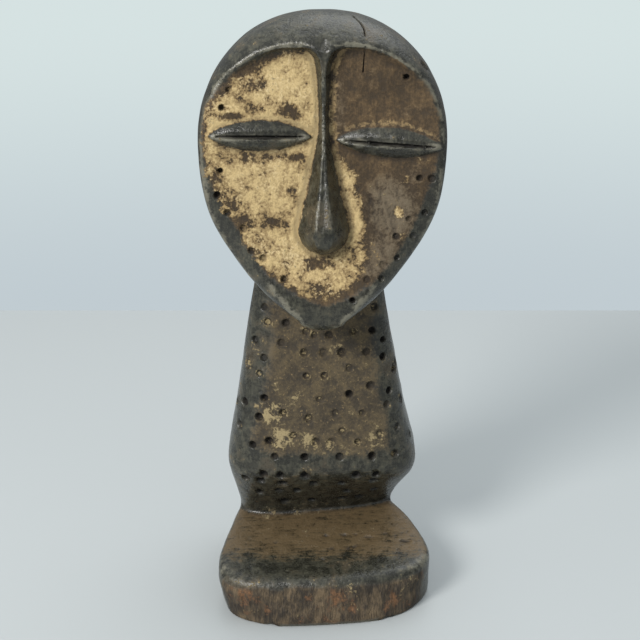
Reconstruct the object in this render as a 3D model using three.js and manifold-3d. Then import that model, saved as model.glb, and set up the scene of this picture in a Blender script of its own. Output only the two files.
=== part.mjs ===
// A figure carved from one block of wood: a large egg-shaped head with a hollowed face, a long
// ridged nose and closed slit eyes, on a trunk that widens downwards, is undercut at the foot and
// runs forward into a slab. Blind holes are bored in the face, the trunk and the undercut.
// Millimetres, +Z up, the face towards -Y. Sizes are drawn from the middle of the trunk, and the
// finished figure is then set with the origin on the floor, in the middle of its outline.
import * as THREE from "three";
import { mergeVertices } from "three/addons/utils/BufferGeometryUtils.js";
import Module from "manifold-3d";

// The egg of the head leans: its lower pole is the chin, in front, and its upper pole the crown.
const HEAD = {
  centreX: 1,
  halfWidth: 51,
  widestZ: 212,
  chin: { y: -25, z: 131.2 },
  crown: { y: -1, z: 261 },
  frontDepth: 27,
  backDepth: 49,
  squareness: 2.5,
};

// The ground of the carved face, as pairs of a height and the y that lies there in the middle.
// It dishes across, and rolls back towards the jaw at both sides.
const FACE = {
  ground: [
    [124, -22],
    [131, -25.4],
    [137, -27.8],
    [144, -28.2],
    [152, -26.2],
    [160, -23.6],
    [172, -21.4],
    [190, -19.4],
    [212, -17.2],
    [234, -15.4],
    [245, -15],
    [248.5, -16.4],
    [250.5, -20.5],
    [256, -34],
  ],
  dish: 2.6,
  dishHalfWidth: 42,
  jawRoll: 6,
};

// The brow is level in the middle and falls away to the temples.
const BROW = { flatHalf: 12, reach: 32, fall: 17.5, mostFall: 20, felt: [222, 250] };

// The nose grows from a thin ridge under the brow to a broad rounded tip. Its sides are hollow
// along the ridge, where their power is over 1, and full at the tip.
const NOSE = {
  x: 1.5,
  crest: [
    [165.2, -22.6],
    [166.6, -27.6],
    [169, -30.9],
    [172, -32.7],
    [176.5, -33.4],
    [190, -29.6],
    [205, -25.2],
    [218, -22],
    [236, -20.2],
    [244, -20.6],
    [251, -22.6],
  ],
  halfWidth: [
    [165.2, 1.2],
    [166.6, 5],
    [169, 8],
    [172, 9.8],
    [175.5, 10.4],
    [182, 9.4],
    [190, 7.7],
    [199, 5.8],
    [208, 3.7],
    [217, 2.4],
    [236, 3],
    [245, 4.4],
    [251, 9],
  ],
  crestShare: [
    [166, 0.2],
    [176, 0.3],
    [200, 0.2],
    [217, 0.12],
    [236, 0.12],
    [251, 0.5],
  ],
  sidePower: [
    [168, 0.66],
    [177, 0.8],
    [193, 1.2],
  ],
};

// Where the nose's sides run out into the face, as a share of its half width.
const NOSE_FOOT = 1.06;

// Each eye is a closed lens: two lids that meet at a straight slit.
const EYES = [
  { x: -24.2, z: 213.9, halfLength: 21.4, up: 6.8, down: 6.6, tilt: -0.02 },
  { x: 28.2, z: 211, halfLength: 22, up: 7.2, down: 6.2, tilt: -0.055 },
];
const LID_RISE = 3.9;
const SLIT = { share: 0.78, halfHeight: 0.55, depth: 2.6, clear: 6 };

// Sections of the trunk from the floor to inside the head. Turn is in degrees.
const TRUNK = [
  { z: 0, left: -36.5, right: 33, front: 14, back: 38.5, turn: 9 },
  { z: 1.5, left: -37.6, right: 34, front: 13, back: 39.8, turn: 9 },
  { z: 20, left: -38, right: 34.2, front: 12, back: 40, turn: 9 },
  { z: 26, left: -38.2, right: 34, front: 9.6, back: 40, turn: 9 },
  { z: 33, left: -39.4, right: 36, front: 6, back: 40.4, turn: 7 },
  { z: 42, left: -41.2, right: 40, front: -0.6, back: 41.2, turn: 4 },
  { z: 49, left: -42.2, right: 43, front: -6, back: 42, turn: 1 },
  { z: 54, left: -42.6, right: 44.2, front: -8.6, back: 42.4, turn: 0.5 },
  { z: 59, left: -42.2, right: 43.9, front: -8.6, back: 42, turn: 0 },
  { z: 80, left: -38.6, right: 38.8, front: -6, back: 38.4, turn: 0 },
  { z: 106, left: -34.6, right: 33.8, front: -2.6, back: 34, turn: 0 },
  { z: 131, left: -30.6, right: 29.2, front: 0.6, back: 30, turn: 0 },
  { z: 160, left: -25.5, right: 25, front: 3, back: 27, turn: 0 },
  { z: 188, left: -20, right: 20, front: 5, back: 25, turn: 0 },
];
const TRUNK_SQUARENESS = 3.7;

// The slab of the foot: its outline anticlockwise from the middle of its askew front, how it is
// edged, and how much the front leans and its lower corners are worn.
const FOOT = {
  outline: [
    [4, -45.6],
    [22, -43],
    [38, -38.4],
    [46.4, -31],
    [49.8, -21],
    [47.6, -8],
    [42.6, 6],
    [37, 16],
    [31, 25],
    [16, 33],
    [-18, 33],
    [-34, 25],
    [-38.8, 14],
    [-41.6, 2],
    [-44.4, -14],
    [-45.6, -26],
    [-43.6, -38],
    [-34, -45.4],
    [-16, -46.8],
  ],
  thickness: 20.4,
  riseToNotch: 0.085,
  lean: 5,
  leanPivot: 0.66,
  edgeRound: 3,
  cornerWear: 3.4,
};

// A bored hole of full size, in the trunk. The face, the undercut and the sides have smaller ones.
const BORE = { sides: 6, radius: 1.65, depth: 2.6, flare: 1.1, taper: 0.8 };
const BORE_SIZE = { face: 0.8, undercut: 0.85, side: 0.9 };

// Rows of bored holes: the height of the row, then where its holes fall across.
const FACE_HOLES = [
  [237.5, [34.5]],
  [232.5, [-36.5]],
  [225.5, [-39.5]],
  [200, [-40.5]],
  [197, [40.5, 45.5]],
  [190, [-42]],
  [182.5, [-38, 43]],
  [180, [36.5]],
  [176, [-31.5]],
  [172.5, [31.5, 38.5]],
  [166.5, [-28.5]],
  [163.5, [-23.5, 32]],
  [161, [26]],
  [155, [-15, 19.5, 25.5]],
  [146.5, [13.5]],
];
const TRUNK_HOLES = [
  [131.5, [-24.5, 24]],
  [125, [-23, -15]],
  [121, [-6, 14.5, 23]],
  [119.5, [-2.5, 4]],
  [116, [-29, -17, 28]],
  [111.5, [-7, 1.5, 9.5, 20.5]],
  [108.5, [-25, 28]],
  [104.5, [-32, 13]],
  [101, [-27, -6, 2, 33]],
  [96, [22.5]],
  [92.5, [13, 31]],
  [90, [-25, 0]],
  [86.5, [-34, 30, 36.5]],
  [83.5, [-16.5, 7, 19]],
  [81, [-27.5, -5]],
  [75, [-36.5, 10, 35]],
  [73, [-12, 27]],
  [70, [-23, -2, 5, 17]],
  [67.5, [-30.5]],
  [63, [-20.5, -7, 9, 23.5, 34]],
];
const UNDERCUT_HOLES = [
  [53.5, [-25.5, -18, -7, 16.5, 25.5]],
  [49.5, [-34, -27, 24.5]],
  [48, [-17, -3, 10]],
  [42.5, [-19, -10.5]],
  [40, [-28, 12.5, 25.5]],
  [33.5, [-16.5, -4, 10, 18.5]],
];
const SIDE_HOLES = { heights: [68, 84, 103], spread: 0.24 };

// The middle of the figure's outline, seen from above.
const MIDDLE = { x: 1, y: -3.5 };

const wasm = await Module();
wasm.setup();

const lerp = THREE.MathUtils.lerp;
const clamp = THREE.MathUtils.clamp;
const smooth = THREE.MathUtils.smoothstep;

// The value of a smooth curve through [position, value] pairs, level beyond its ends.
function along(pairs, at) {
  const last = pairs.length - 1;
  if (at <= pairs[0][0]) return pairs[0][1];
  if (at >= pairs[last][0]) return pairs[last][1];
  const k = pairs.findIndex((p) => p[0] > at) - 1;
  const slope = (i) => {
    const a = pairs[Math.max(i - 1, 0)];
    const b = pairs[Math.min(i + 1, last)];
    return (b[1] - a[1]) / (b[0] - a[0]);
  };
  const [p, q] = [pairs[k], pairs[k + 1]];
  const span = q[0] - p[0];
  const t = (at - p[0]) / span;
  const [t2, t3] = [t * t, t * t * t];
  return (
    (2 * t3 - 3 * t2 + 1) * p[1] +
    (t3 - 2 * t2 + t) * span * slope(k) +
    (3 * t2 - 2 * t3) * q[1] +
    (t3 - t2) * span * slope(k + 1)
  );
}

// A point of a superellipse of half sizes 1, at an angle in radians.
function squarish(angle, squareness) {
  const bend = (v) => Math.sign(v) * Math.abs(v) ** (2 / squareness);
  return [bend(Math.cos(angle)), bend(Math.sin(angle))];
}

// A closed mesh through rings of the same number of points, listed from below to above.
function loft(rings) {
  const count = rings[0].length;
  const points = rings.flat();
  const faces = [];
  for (let r = 0; r < rings.length - 1; r++) {
    for (let i = 0; i < count; i++) {
      const a = r * count + i;
      const b = r * count + ((i + 1) % count);
      faces.push(a, b, b + count, a, b + count, a + count);
    }
  }
  for (const [ring, first] of [[0, 0], [rings.length - 1, points.length - count]]) {
    const centre = points.length;
    points.push(rings[ring].reduce((s, p) => s.clone().add(p)).divideScalar(count));
    for (let i = 0; i < count; i++) {
      const [a, b] = [first + i, first + ((i + 1) % count)];
      faces.push(...(ring === 0 ? [centre, b, a] : [centre, a, b]));
    }
  }
  const geometry = new THREE.BufferGeometry().setFromPoints(points);
  geometry.setIndex(faces);
  return geometry;
}

function solid(geometry) {
  const bare = geometry.clone();
  bare.deleteAttribute("normal");
  bare.deleteAttribute("uv");
  const merged = mergeVertices(bare, 1e-4);
  return new wasm.Manifold(
    new wasm.Mesh({
      numProp: 3,
      vertProperties: new Float32Array(merged.attributes.position.array),
      triVerts: new Uint32Array(merged.index.array),
    }),
  );
}

// How full the head's egg is at a height, from 0 at its poles to 1 where it is widest.
function eggShare(z) {
  if (z >= HEAD.widestZ) {
    const t = clamp((z - HEAD.widestZ) / (HEAD.crown.z - HEAD.widestZ), 0, 1);
    return (1 - t ** 2) ** 0.47;
  }
  const t = clamp((HEAD.widestZ - z) / (HEAD.widestZ - HEAD.chin.z), 0, 1);
  const narrowing = (1 - t ** 2.4) ** 0.87;
  const bluntChin = 0.35 * Math.sqrt(1 - t ** 2) * t ** 12;
  return narrowing + bluntChin;
}

function headEgg() {
  const [levels, around] = [26, 42];
  const rings = [];
  for (let k = 0; k <= levels; k++) {
    const share = (1 - Math.cos((Math.PI * clamp(k, 0.2, levels - 0.2)) / levels)) / 2;
    const z = lerp(HEAD.chin.z, HEAD.crown.z, share);
    const axisY = lerp(HEAD.chin.y, HEAD.crown.y, share);
    const full = eggShare(z);
    rings.push(
      Array.from({ length: around }, (_, i) => {
        const [c, s] = squarish((2 * Math.PI * i) / around, HEAD.squareness);
        const depth = s < 0 ? HEAD.frontDepth : HEAD.backDepth;
        return new THREE.Vector3(
          HEAD.centreX + HEAD.halfWidth * full * c,
          axisY + depth * full * s,
          z,
        );
      }),
    );
  }
  return loft(rings);
}

// How much lower the brow lies at x than in the middle, felt only above the eyes.
function browDrop(x, z) {
  const beyond = Math.max(Math.abs(x - HEAD.centreX) - BROW.flatHalf, 0) / BROW.reach;
  return Math.min(BROW.fall * beyond ** 2.2, BROW.mostFall) * smooth(z, ...BROW.felt);
}

// How far a lid stands out at a point of the face.
function lidRise(eye, x, z) {
  const u = (x - eye.x) / eye.halfLength;
  if (Math.abs(u) >= 1) return 0;
  const fromSlit = z - eye.z - eye.tilt * (x - eye.x);
  const reach = (fromSlit > 0 ? eye.up : eye.down) * (1 - u * u) ** 0.75;
  const v = Math.abs(fromSlit) / reach;
  return v >= 1 ? 0 : LID_RISE * (1 - u * u) ** 0.6 * (1 - v ** 1.7);
}

// The y of the carved face at a point seen from the front.
function faceY(x, z) {
  const lifted = z + browDrop(x, z + 6);
  const across = Math.abs(x - HEAD.centreX);
  let y = along(FACE.ground, lifted) - FACE.dish * Math.min(across / FACE.dishHalfWidth, 1.2) ** 2;
  const edge = across / Math.max(HEAD.halfWidth * eggShare(z), 12);
  y += FACE.jawRoll * smooth(edge, 0.68, 1.1) * (1 - smooth(z, 160, 205));
  for (const eye of EYES) y -= lidRise(eye, x, z);
  if (z <= NOSE.crest[0][0]) return y;
  const share = along(NOSE.crestShare, z);
  const out = Math.abs(x - NOSE.x) / along(NOSE.halfWidth, z);
  const side = clamp((NOSE_FOOT - out) / (NOSE_FOOT - share), 0, 1);
  const fall = side ** along(NOSE.sidePower, z);
  return Math.min(y, lerp(y, along(NOSE.crest, z), fall));
}

// Everything in front of the carved face, to be taken off the egg. The grid of its back follows
// the nose across and the brow upwards.
function faceChips() {
  const clearY = -90;
  const leastHalf = 4.5;
  const levels = [118];
  for (let z = 124; z < 162; z += 4.75) levels.push(z);
  levels.push(165.2, 166.6, 169, 172, 175.5, 179);
  for (let z = 182; z < 203; z += 5.5) levels.push(z);
  for (let z = 204; z < 225; z += 2) levels.push(z);
  levels.push(229, 236, 241, 245, 247.5, 250, 253, 256, 290);
  const rings = levels.map((level) => {
    const half = Math.max(along(NOSE.halfWidth, level), leastHalf);
    const crest = along(NOSE.crestShare, level);
    const jaw = HEAD.halfWidth * eggShare(level) * 1.12 + 5;
    const reach = lerp(Math.max(jaw, 22), 62, smooth(level, 185, 222));
    const beside = [1, 0.87, 0.75, 0.64, 0.52, 0.4, 0.27, 0.14];
    const right = [
      ...[crest, 0.6, NOSE_FOOT, 1.5].map((k) => NOSE.x + k * half),
      ...beside.toReversed().map((k) => lerp(NOSE.x + 1.5 * half, reach, k)),
    ];
    const left = [
      ...beside.map((k) => lerp(NOSE.x - 1.5 * half, -reach, k)),
      ...[1.5, NOSE_FOOT, 0.6, crest].map((k) => NOSE.x - k * half),
    ];
    const xs = [...left, NOSE.x, ...right];
    const back = xs.map((x) => {
      const z = level - browDrop(x, level);
      return new THREE.Vector3(x, faceY(x, z), z);
    });
    return [...back.map((p) => new THREE.Vector3(p.x, clearY, p.z)), ...back.toReversed()];
  });
  return loft(rings);
}

function trunkSection(z) {
  const value = (key) => along(TRUNK.map((s) => [s.z, s[key]]), z);
  return {
    x: (value("left") + value("right")) / 2,
    y: (value("front") + value("back")) / 2,
    halfX: (value("right") - value("left")) / 2,
    halfY: (value("back") - value("front")) / 2,
    turn: THREE.MathUtils.degToRad(value("turn")),
  };
}

function trunkPoint(z, angle) {
  const s = trunkSection(z);
  const [c, d] = squarish(angle, TRUNK_SQUARENESS);
  return new THREE.Vector3(s.halfX * c, s.halfY * d, 0)
    .applyAxisAngle(new THREE.Vector3(0, 0, 1), s.turn)
    .add(new THREE.Vector3(s.x, s.y, z));
}

function trunk() {
  const around = 32;
  const levels = [0, 1.5, 20, 26, 33, 39, 45, 49, 52, 55, 59, 66, 80, 97, 116, 140, 164, 188];
  return loft(
    levels.map((z) =>
      Array.from({ length: around }, (_, i) => trunkPoint(z, (2 * Math.PI * i) / around)),
    ),
  );
}

// The point of the trunk's front that is seen at x and z, and the way out of the wood there.
function onTrunk(x, z) {
  const angleAt = (height) => {
    let [low, high] = [Math.PI, 2 * Math.PI];
    for (let i = 0; i < 30; i++) {
      const middle = (low + high) / 2;
      if (trunkPoint(height, middle).x < x) low = middle;
      else high = middle;
    }
    return low;
  };
  const angle = angleAt(z);
  const point = trunkPoint(z, angle);
  const across = trunkPoint(z, angle + 0.03).sub(trunkPoint(z, angle - 0.03));
  const up = trunkPoint(z + 1, angle).sub(trunkPoint(z - 1, angle));
  return { point, out: across.cross(up).normalize() };
}

function onFace(x, z) {
  const step = 1.5;
  const slopeX = (faceY(x + step, z) - faceY(x - step, z)) / (2 * step);
  const slopeZ = (faceY(x, z + step) - faceY(x, z - step)) / (2 * step);
  return {
    point: new THREE.Vector3(x, faceY(x, z), z),
    out: new THREE.Vector3(slopeX, -1, slopeZ).normalize(),
  };
}

// A blind hole, bored square to the surface and a little flared at its mouth.
function bore({ point, out }, size) {
  const above = 1.2;
  const radius = BORE.radius * size;
  const tool = new THREE.CylinderGeometry(
    radius * BORE.flare,
    radius * BORE.taper,
    BORE.depth + above,
    BORE.sides,
  );
  tool.translate(0, (above - BORE.depth) / 2, 0);
  tool.applyQuaternion(
    new THREE.Quaternion().setFromUnitVectors(new THREE.Vector3(0, 1, 0), out),
  );
  tool.translate(point.x, point.y, point.z);
  return solid(tool);
}

// The narrow knife cut between two lids.
function slit(eye) {
  const half = eye.halfLength * SLIT.share;
  const steps = 10;
  const rings = Array.from({ length: steps + 1 }, (_, i) => {
    const x = eye.x + lerp(-half, half, i / steps);
    const z = eye.z + eye.tilt * (x - eye.x);
    const open = SLIT.halfHeight * Math.sqrt(Math.max(1 - ((x - eye.x) / half) ** 2, 0.06));
    const lip = faceY(x, z);
    return [
      new THREE.Vector3(x, lip - SLIT.clear, z + open),
      new THREE.Vector3(x, lip - SLIT.clear, z - open),
      new THREE.Vector3(x, lip + SLIT.depth, z),
    ];
  });
  return solid(loft(rings));
}

function footOutline(inset) {
  const curve = new THREE.CatmullRomCurve3(
    FOOT.outline.map(([x, y]) => new THREE.Vector3(x, y, 0)),
    true,
    "centripetal",
  );
  const count = 44;
  return Array.from({ length: count }, (_, i) => {
    const tangent = curve.getTangent(i / count);
    const inwards = new THREE.Vector3(-tangent.y, tangent.x, 0);
    return curve.getPoint(i / count).addScaledVector(inwards, inset);
  });
}

// The slab, its front leaning, its upper face rising to the notch, its lower front corners worn.
function foot() {
  const { thickness, edgeRound: r } = FOOT;
  const layers = [
    [0, 1.5],
    [1.2, 0.2],
    [4, 0],
    [thickness - r * 1.6, 0],
    [thickness - r * 0.7, r * 0.15],
    [thickness - r * 0.2, r * 0.5],
    [thickness, r * 1.2],
    [thickness + 0.4, r * 3.6],
  ];
  return loft(
    layers.map(([height, inset]) =>
      footOutline(inset).map((p) => {
        const corner = smooth(Math.abs(p.x - 2) - p.y, 64, 80);
        const worn = FOOT.cornerWear * corner * (1 - clamp(height / 14, 0, 1));
        const lean = FOOT.lean * smooth(-p.y, 20, 40) * (height / thickness - FOOT.leanPivot);
        const rise = FOOT.riseToNotch * Math.max(p.y + 45, 0) * (height / thickness);
        return new THREE.Vector3(p.x - Math.sign(p.x) * worn, p.y + worn + lean, height + rise);
      }),
    ),
  );
}

// Holes in the trunk's two sides, set off from the middle of each side by turns.
function sideHoles() {
  return [0, Math.PI].flatMap((side) =>
    SIDE_HOLES.heights.map((height, row) => ({
      point: trunkPoint(height, side + SIDE_HOLES.spread * (row % 2 ? 1 : -1)),
      out: new THREE.Vector3(Math.cos(side), 0, 0.15).normalize(),
    })),
  );
}

function boreRows(rows, onSurface, size) {
  return rows.flatMap(([z, xs]) => xs.map((x) => bore(onSurface(x, z), size)));
}

const holes = [
  ...boreRows(FACE_HOLES, onFace, BORE_SIZE.face),
  ...boreRows(TRUNK_HOLES, onTrunk, 1),
  ...boreRows(UNDERCUT_HOLES, onTrunk, BORE_SIZE.undercut),
  ...sideHoles().map((place) => bore(place, BORE_SIZE.side)),
];

let carvedBody = solid(headEgg())
  .subtract(solid(faceChips()))
  .add(solid(trunk()))
  .add(solid(foot()));
for (const cut of [...EYES.map(slit), ...holes]) carvedBody = carvedBody.subtract(cut);
const carved = carvedBody.getMesh();

const geometry = new THREE.BufferGeometry()
  .setAttribute("position", new THREE.BufferAttribute(carved.vertProperties, 3))
  .setIndex(new THREE.BufferAttribute(carved.triVerts, 1));
geometry.translate(-MIDDLE.x, -MIDDLE.y, 0);
geometry.computeVertexNormals();

const figure = new THREE.Mesh(
  geometry,
  new THREE.MeshStandardMaterial({ color: 0x4a4438, roughness: 0.5, metalness: 0 }),
);
figure.name = "figure";

const group = new THREE.Group();
group.add(figure);

export default group;
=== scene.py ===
"""A figure carved from one block of dark wood, with a hollowed face that is rubbed with pale clay.

The forms are named sizes in millimetres, drawn from the middle of the trunk with +Z up and the
face towards -Y. The finished mesh is carried into the frame, in metres, at the end.
"""

import math

import bmesh
import bpy
import numpy as np
from bpy.props import FloatProperty, FloatVectorProperty, PointerProperty
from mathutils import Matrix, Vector


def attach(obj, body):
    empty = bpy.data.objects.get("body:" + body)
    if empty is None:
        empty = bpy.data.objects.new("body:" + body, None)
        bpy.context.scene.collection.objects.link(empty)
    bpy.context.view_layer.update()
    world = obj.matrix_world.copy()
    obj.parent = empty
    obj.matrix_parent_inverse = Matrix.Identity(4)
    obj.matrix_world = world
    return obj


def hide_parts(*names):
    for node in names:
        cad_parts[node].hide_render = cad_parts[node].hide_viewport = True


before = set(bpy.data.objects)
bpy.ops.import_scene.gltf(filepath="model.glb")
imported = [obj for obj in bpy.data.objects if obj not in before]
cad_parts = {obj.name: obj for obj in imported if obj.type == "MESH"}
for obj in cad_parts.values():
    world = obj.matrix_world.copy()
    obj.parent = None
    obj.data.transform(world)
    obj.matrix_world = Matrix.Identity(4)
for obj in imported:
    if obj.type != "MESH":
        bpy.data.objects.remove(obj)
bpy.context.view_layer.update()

bl_info = {
    "name": "Carved figure",
    "version": (1, 0, 0),
    "blender": (4, 5, 0),
    "location": "3D View > Sidebar > Figure",
    "description": "Carves and finishes a wooden figure round its solid",
    "category": "Add Mesh",
}

MM = 0.001
FAR = 30.0

# The middle of the figure's outline, seen from above, is the frame's origin.
MIDDLE = np.array([1, -3.5, 0])

# The egg of the head leans: its lower pole is the chin, in front, and its upper pole the crown.
HEAD = {
    "centre_x": 1,
    "half_width": 51,
    "widest_z": 212,
    "chin_y": -25,
    "chin_z": 131.2,
    "crown_y": -1,
    "crown_z": 261,
    "front_depth": 27,
    "back_depth": 49,
    "squareness": 2.5,
}

# The ground of the carved face, as pairs of a height and the y that lies there in the middle.
FACE_GROUND = [
    (124, -22), (131, -25.4), (137, -27.8), (144, -28.2), (152, -26.2), (160, -23.6),
    (172, -21.4), (190, -19.4), (212, -17.2), (234, -15.4), (245, -15), (248.5, -16.4),
    (250.5, -20.5), (256, -34),
]
DISH = 2.6
DISH_HALF_WIDTH = 42
JAW_ROLL = 6

# The brow is level in the middle and falls away to the temples.
BROW = {"flat_half": 12, "reach": 32, "fall": 17.5, "most_fall": 20, "felt_from": 222, "felt_to": 250}

# The nose grows from a thin ridge under the brow to a broad rounded tip. Its sides are hollow
# along the ridge, where their power is over 1, and full at the tip.
NOSE_X = 1.5
NOSE_CREST = [
    (165.2, -22.6), (166.6, -27.6), (169, -30.9), (172, -32.7), (176.5, -33.4), (190, -29.6),
    (205, -25.2), (218, -22), (236, -20.2), (244, -20.6), (251, -22.6),
]
NOSE_HALF_WIDTH = [
    (165.2, 1.2), (166.6, 5), (169, 8), (172, 9.8), (175.5, 10.4), (182, 9.4), (190, 7.7),
    (199, 5.8), (208, 3.7), (217, 2.4), (236, 3), (245, 4.4), (251, 9),
]
NOSE_CREST_SHARE = [(166, 0.2), (176, 0.3), (200, 0.2), (217, 0.12), (236, 0.12), (251, 0.5)]
NOSE_SIDE_POWER = [(168, 0.66), (177, 0.8), (193, 1.2)]
NOSE_FOOT = 1.06
NOSE_GROOVE = 0.07

# Each eye is a closed lens: two lids that meet at a straight slit.
EYES = [
    {"x": -24.2, "z": 213.9, "half_length": 21.4, "up": 6.8, "down": 6.6, "tilt": -0.02},
    {"x": 28.2, "z": 211, "half_length": 22, "up": 7.2, "down": 6.2, "tilt": -0.055},
]
LID_RISE = 3.9
SLIT = {"share": 0.84, "half_height": 0.62, "depth": 2.4}

# Sections of the trunk: height, left, right, front, back, and turn in degrees.
TRUNK = [
    (0, -36.5, 33, 14, 38.5, 9), (1.5, -37.6, 34, 13, 39.8, 9), (20, -38, 34.2, 12, 40, 9),
    (26, -38.2, 34, 9.6, 40, 9), (33, -39.4, 36, 6, 40.4, 7), (42, -41.2, 40, -0.6, 41.2, 4),
    (49, -42.2, 43, -6, 42, 1), (54, -42.6, 44.2, -8.6, 42.4, 0.5), (59, -42.2, 43.9, -8.6, 42, 0),
    (80, -38.6, 38.8, -6, 38.4, 0), (106, -34.6, 33.8, -2.6, 34, 0), (131, -30.6, 29.2, 0.6, 30, 0),
    (160, -25.5, 25, 3, 27, 0), (188, -20, 20, 5, 25, 0),
]
TRUNK_TOP = 188
TRUNK_SQUARENESS = 3.7

# The slab of the foot: its outline anticlockwise from the middle of its askew front.
FOOT_OUTLINE = [
    (4, -45.6), (22, -43), (38, -38.4), (46.4, -31), (49.8, -21), (47.6, -8), (42.6, 6), (37, 16),
    (31, 25), (16, 33), (-18, 33), (-34, 25), (-38.8, 14), (-41.6, 2), (-44.4, -14), (-45.6, -26),
    (-43.6, -38), (-34, -45.4), (-16, -46.8),
]
FOOT = {"thickness": 20.4, "top": 20.7, "rise": 0.085, "lean": 5, "lean_pivot": 0.66, "corner_wear": 3.4}

# How softly two forms meet: cut edges are worn round, and inner corners are filled.
SOFT = {"brow": 2.4, "jaw": 2.6, "nape": 3, "notch": 1.8, "slab_edge": 4.2, "underside": 1.6}

BORE_DEPTH = 2.6
BORE_TAPER = 0.8

# Holes that are bored deep and stay black, by where they open in the front: x and z.
DEEP_HOLES = [
    (-7, 63), (-30.5, 67.5), (-23, 70), (-25, 90), (-27.5, 81), (13, 92.5), (31, 92.5), (28, 108.5),
    (28, 116), (23, 121), (33, 101), (-34, 86.5), (23.5, 63), (13.5, 146.5), (40.5, 182.5), (36.5, 176),
    (34.5, 237.5), (-36.5, 176), (-42, 190), (-40.5, 200), (-39.5, 225.5),
]

# The fine crack that runs down from the crown, over the brow and into the face.
CRACK = [
    (13.2, -4.2, 259.6), (15.9, -8.5, 257.9), (17.4, -11.5, 256.2), (17.8, -13.9, 254.5),
    (17.9, -18.3, 249.5), (17.6, -16, 246), (17.2, -15.4, 239.3),
]
CRACK_DEPTH_SCALE = (1, 0.3, 1)

# A chip off the head's edge, and a nick over the root of the nose: x, y, z, reach, depth.
CHIPS = [(42.6, -10.4, 241, 2.6, 1.7), (1.2, -20, 250.5, 3.2, 1), (24, -18, 249.6, 1.4, 0.5)]

# Short gouges in the cheek: where they lie in x and z, and how many.
GOUGES = {"x": (18, 33), "z": (172, 194), "count": 26, "length": (2.5, 6.5), "half_width": (0.35, 0.6)}

# Pits worn in the slab: middle x and y, half length along x, half width, depth.
SLAB_PITS = [
    (-20.3, -15.8, 1.3, 0.8, 0.8), (2.8, -10.4, 1.5, 0.9, 0.9), (11.1, -9.7, 1.9, 0.9, 0.9),
    (22.5, -11.6, 2.4, 1, 1.1), (38.9, -14.6, 3, 1.2, 1.3), (1.6, -28.5, 1, 0.8, 0.8),
    (16.5, -9.3, 1.5, 0.6, 0.6), (30.5, -8.6, 1.6, 0.6, 0.6), (-33, -13, 1, 0.6, 0.5),
]
SLAB_CRACKS = [
    [(4.1, -20, 22.9), (7.4, -21.3, 22.8), (10.7, -21.1, 22.8), (14.5, -19.4, 22.9), (18.7, -17.7, 23.1)],
    [(28.5, 17.2, 27.6), (31.5, 18.8, 27.8), (34.4, 19.6, 28.4)],
]

# Where the pale clay still covers the face, seen from the front as x and z.
CLAY_OUTLINE = [
    (1, 247), (-8, 247.6), (-18, 245.6), (-27, 241.4), (-36, 234.6), (-43.4, 226), (-47, 216),
    (-46.6, 206), (-44, 194), (-39.4, 182), (-31.5, 170), (-24, 159.6), (-13, 151.4), (-2, 147),
    (7, 148.4), (15.4, 154), (19, 162), (18.6, 176), (15.2, 189.5), (10.5, 201.9), (7, 214), (5, 247),
]
# The brown ground that the clay was rubbed into.
STAIN_OUTLINE = [
    (-1, 249), (-19.4, 247), (-31, 242), (-39.5, 234.5), (-46, 226), (-48, 215), (-47.4, 206),
    (-42, 188), (-30, 168), (-22.5, 157), (-11, 149), (1, 143.5), (12, 147), (23, 154), (32, 165),
    (40, 180), (46, 196), (48.6, 207), (48, 222), (43, 234), (34, 243.6), (22, 248.6), (4, 249),
]
# Worn places in the clay, and spots of clay beyond it: x, z, half width, half height, share.
CLAY_PATCHES = [
    (-25.6, 235.3, 4.6, 3.8, -0.5), (-13.6, 223.4, 5.6, 4, -0.4), (-36.2, 221.7, 6.5, 1.8, -0.7),
    (-30, 240, 8, 2, -0.3), (-24, 204.8, 14, 2.4, -0.35), (-9, 205, 4, 2, -0.35), (-42, 196, 3.5, 5, -0.35),
    (-36, 188, 4, 4, -0.3), (-34, 178.5, 6, 3.4, -0.4), (-20, 178, 8, 2.4, -0.3), (-14, 191, 4, 3, -0.2),
    (-27, 168, 5, 4, -0.4), (-14, 164, 4, 6, -0.2), (-1.5, 160.5, 6.5, 2.4, -0.6), (10, 160, 5, 3, -0.2),
    (0.5, 151, 6, 3.4, -0.35), (8, 222, 4, 22, -0.35), (-40, 208, 5, 3, -0.2),
    (32.4, 182.7, 2.8, 2.8, 0.85), (34.8, 196.1, 2.6, 2.4, 0.7), (40.8, 204.3, 3, 2, 0.35),
    (34.5, 172, 2.4, 3, 0.5), (22, 165, 5, 6, 0.3), (13.5, 197, 3, 6, 0.4), (15, 182, 4, 10, 0.25),
    (-14, 236, 9, 6, 0.12), (-31, 200, 7, 4, 0.12), (-22, 188, 9, 5, 0.15), (-8, 176, 4, 12, 0.2),
]
# Paler and greyer places of the brown ground: x, z, half width, half height, share.
WEATHERED = [
    (30, 184, 15, 16, 0.85), (24, 162, 14, 10, 0.75), (8, 226, 4, 18, 0.5), (20, 236, 10, 6, 0.3),
    (36, 224, 8, 3, 0.3), (40, 200, 6, 5, 0.4),
]
# The brown crust over the front of the trunk, seen from the front as x and z.
CRUST_OUTLINE = [
    (-26, 134), (-22, 118), (-24.5, 102), (-29, 84), (-33, 67), (-20, 62), (0, 64), (20, 63),
    (33, 66), (31, 80), (26, 102), (25, 118), (26, 134), (0, 140),
]
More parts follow.
